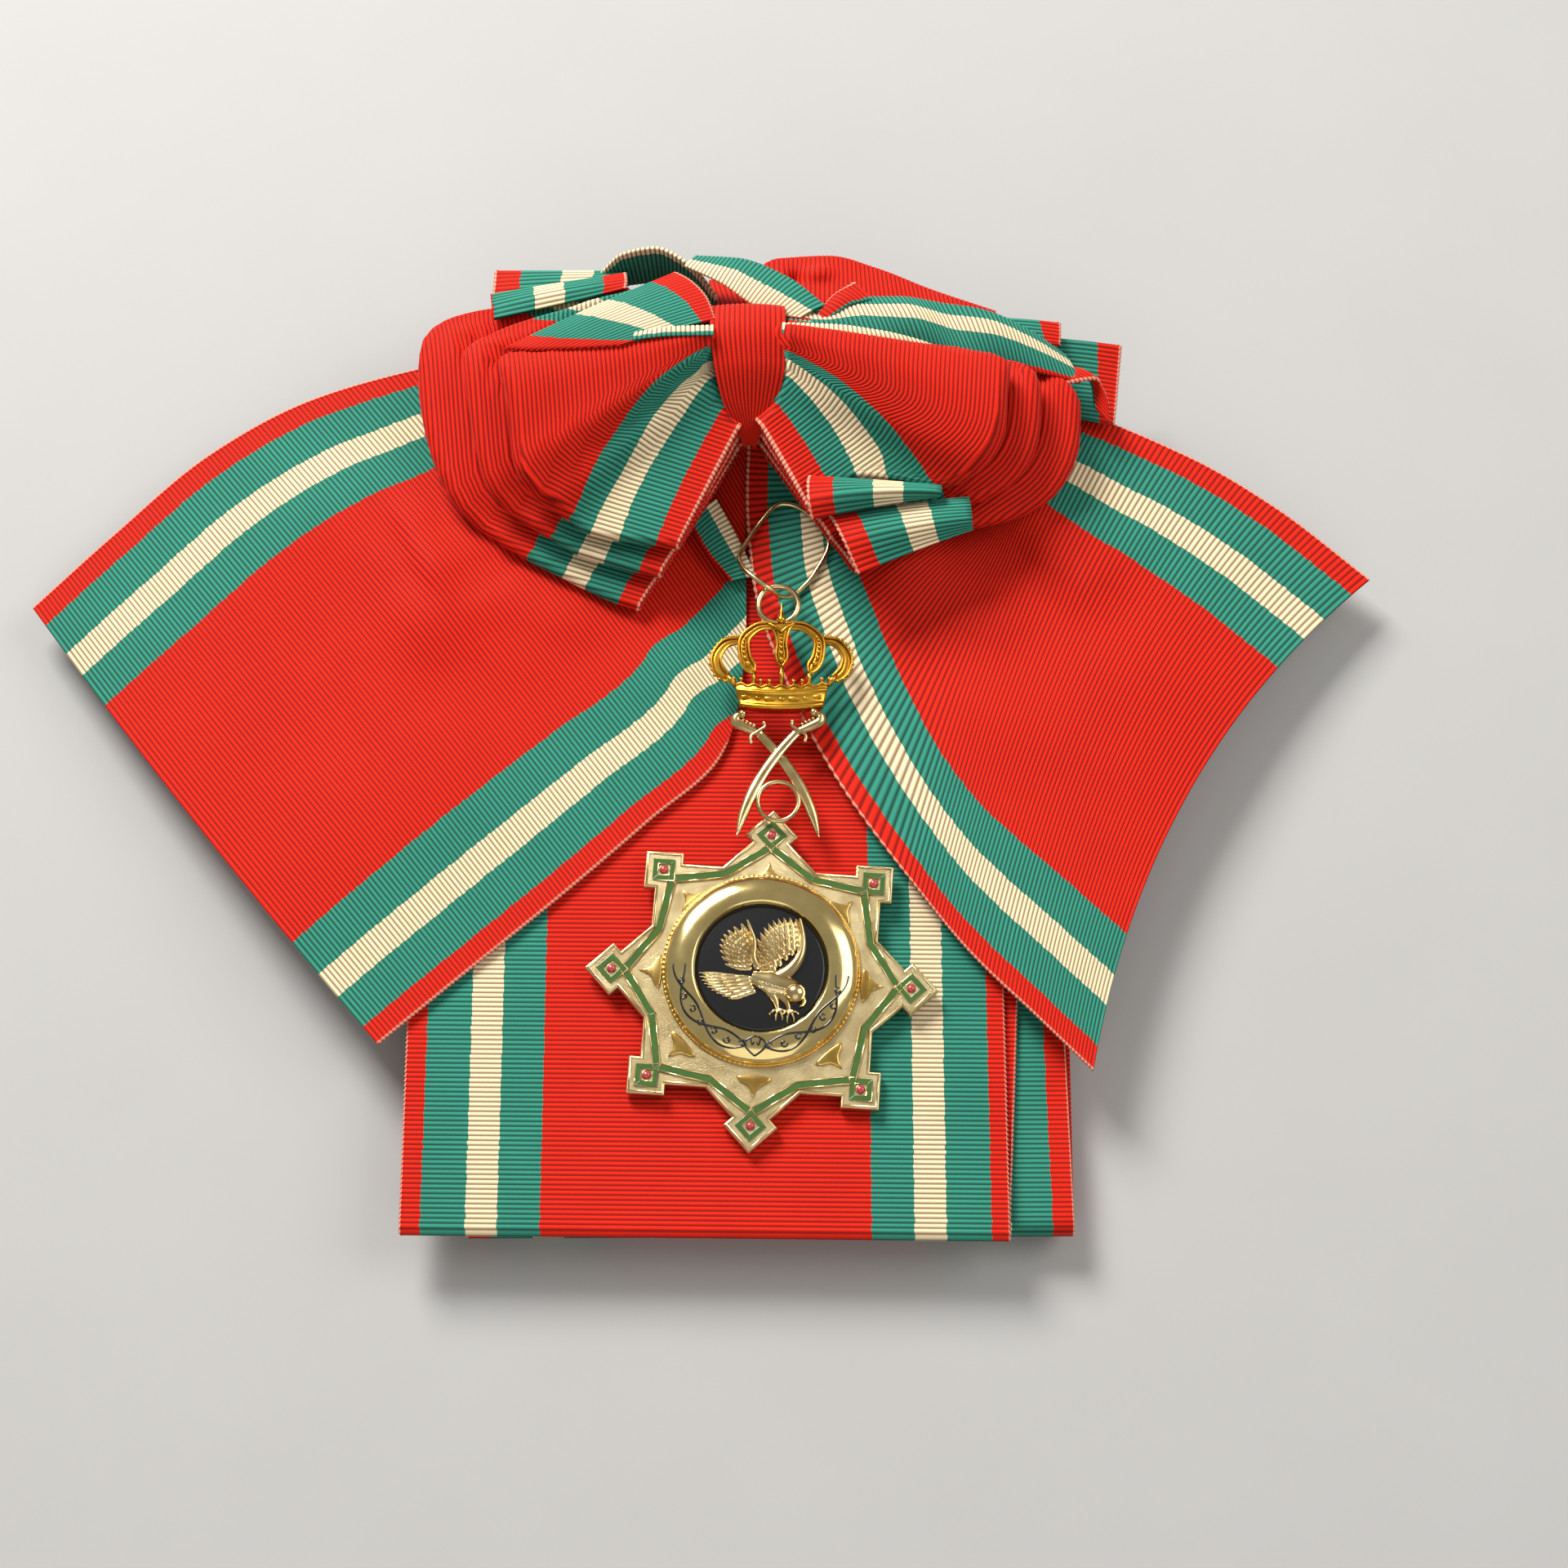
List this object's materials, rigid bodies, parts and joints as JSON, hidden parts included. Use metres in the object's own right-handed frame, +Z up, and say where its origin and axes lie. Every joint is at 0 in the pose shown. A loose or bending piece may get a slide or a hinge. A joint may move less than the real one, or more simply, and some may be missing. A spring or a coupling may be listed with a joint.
{
  "type": "sash of an order",
  "caption": "Wide striped grosgrain sash folded flat, with a gathered bow, fanned tails, and an enamelled star badge with crown on a wire bail lying on it.",
  "frame": {"origin": "centre of the bounding box on the table plane", "axes": "+X to the wearer's-view right, +Y away from the viewer towards the top of the bow, +Z up from the table"},
  "size_m": [0.2364, 0.1746, 0.0374],
  "materials": {
    "striped_ribbon": "ribbed red grosgrain with green and cream stripes near both selvedges",
    "green_ribbon": "ribbed green and cream part of the same ribbon",
    "frosted_silver_gilt": "frosted silver gilt with bright edges",
    "gilt": "polished gilt",
    "green_enamel": "olive green vitreous enamel",
    "red_enamel": "pinkish red vitreous enamel",
    "black_enamel": "glossy black vitreous enamel"
  },
  "bodies": {
    "root": {"folded_band": "striped_ribbon", "tail_left": "striped_ribbon", "tail_right": "striped_ribbon", "bow_left_outer": "striped_ribbon", "bow_left_middle": "striped_ribbon", "bow_left_inner": "striped_ribbon", "bow_right_outer": "striped_ribbon", "bow_right_middle": "striped_ribbon", "bow_right_inner": "striped_ribbon", "bow_top_mass": "striped_ribbon", "bow_knot": "striped_ribbon", "bow_top_arch": "green_ribbon", "bow_top_fold": "green_ribbon", "bow_left_end": "green_ribbon", "star_plate": "frosted_silver_gilt", "green_enamel": "green_enamel", "red_dot_1": "red_enamel", "red_dot_2": "red_enamel", "red_dot_3": "red_enamel", "red_dot_4": "red_enamel", "red_dot_5": "red_enamel", "red_dot_6": "red_enamel", "red_dot_7": "red_enamel", "red_dot_8": "red_enamel", "black_enamel": "black_enamel", "raptor": "gilt", "crossed_sabres": "gilt", "crown": "gilt", "jump_ring": "gilt", "wire_bail": "gilt"}
  },
  "joints": []
}
